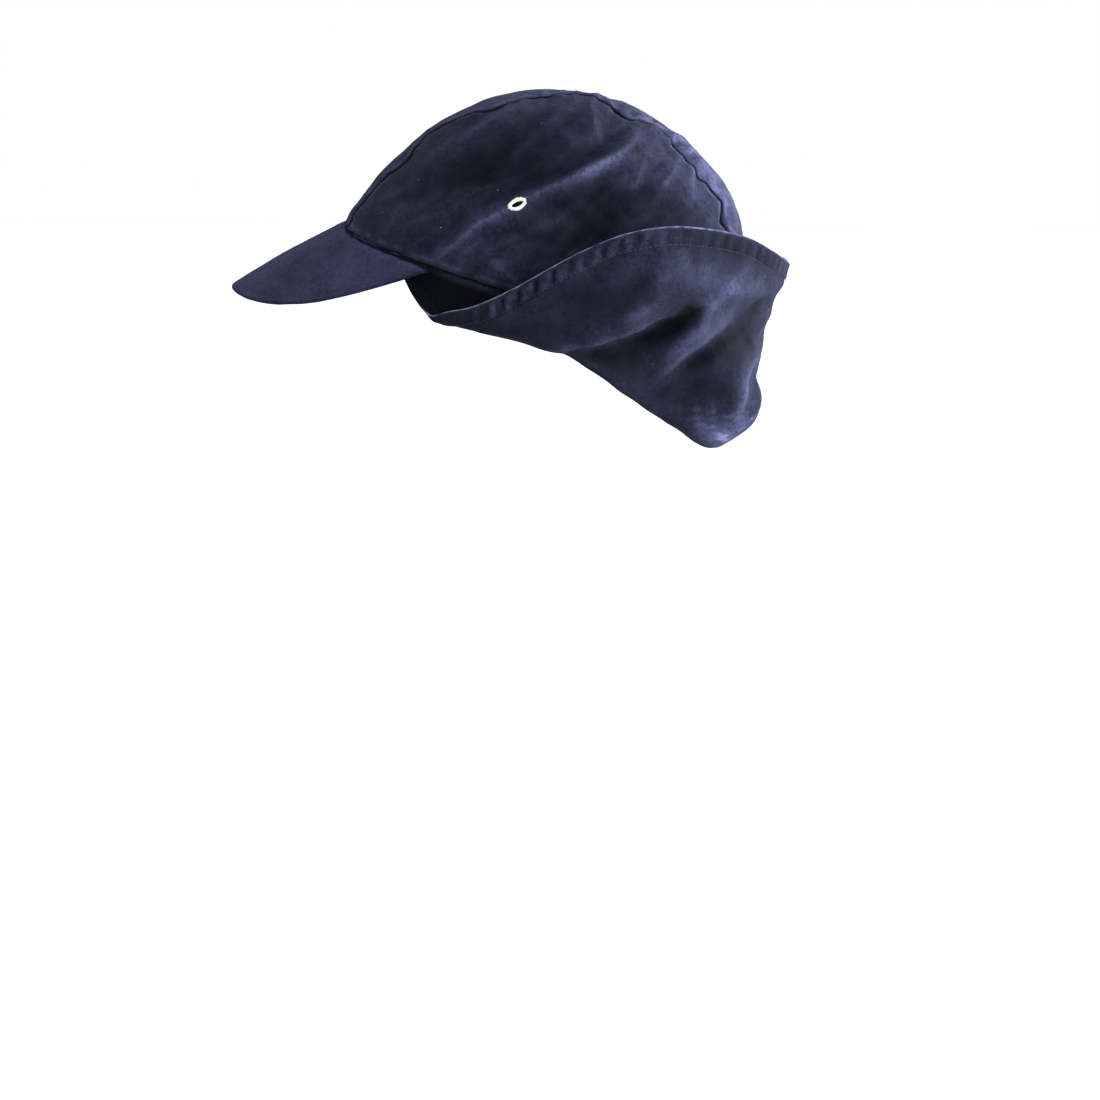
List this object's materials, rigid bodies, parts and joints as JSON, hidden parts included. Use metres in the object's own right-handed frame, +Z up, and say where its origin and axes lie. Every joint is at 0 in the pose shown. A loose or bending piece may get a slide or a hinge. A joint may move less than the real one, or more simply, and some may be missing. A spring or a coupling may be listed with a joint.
{
  "type": "desert cap",
  "caption": "Worn cotton cap with a panelled domed crown, a short curved peak, stitched oval eyelets and a long ear and neck flap turned up into a flaring cuff.",
  "frame": {"origin": "centre of the head opening, on the cap's middle plane", "axes": "+Z up as the cap is worn, -Y towards the peak, +X towards the wearer's left"},
  "size_m": [0.2088, 0.2978, 0.1887],
  "materials": {
    "crown_cloth": "matte navy cotton twill, washed",
    "peak_cloth": "matte navy cotton twill, smooth over the stiff peak",
    "flap_cloth": "matte navy cotton twill, washed, faded along its hem",
    "eyelet_thread": "off-white embroidery thread, satin"
  },
  "bodies": {
    "root": {"crown_center_panel": "crown_cloth", "crown_side_left": "crown_cloth", "crown_side_right": "crown_cloth", "peak": "peak_cloth", "neck_flap": "flap_cloth", "eyelet_left": "eyelet_thread", "eyelet_right": "eyelet_thread"}
  },
  "joints": []
}
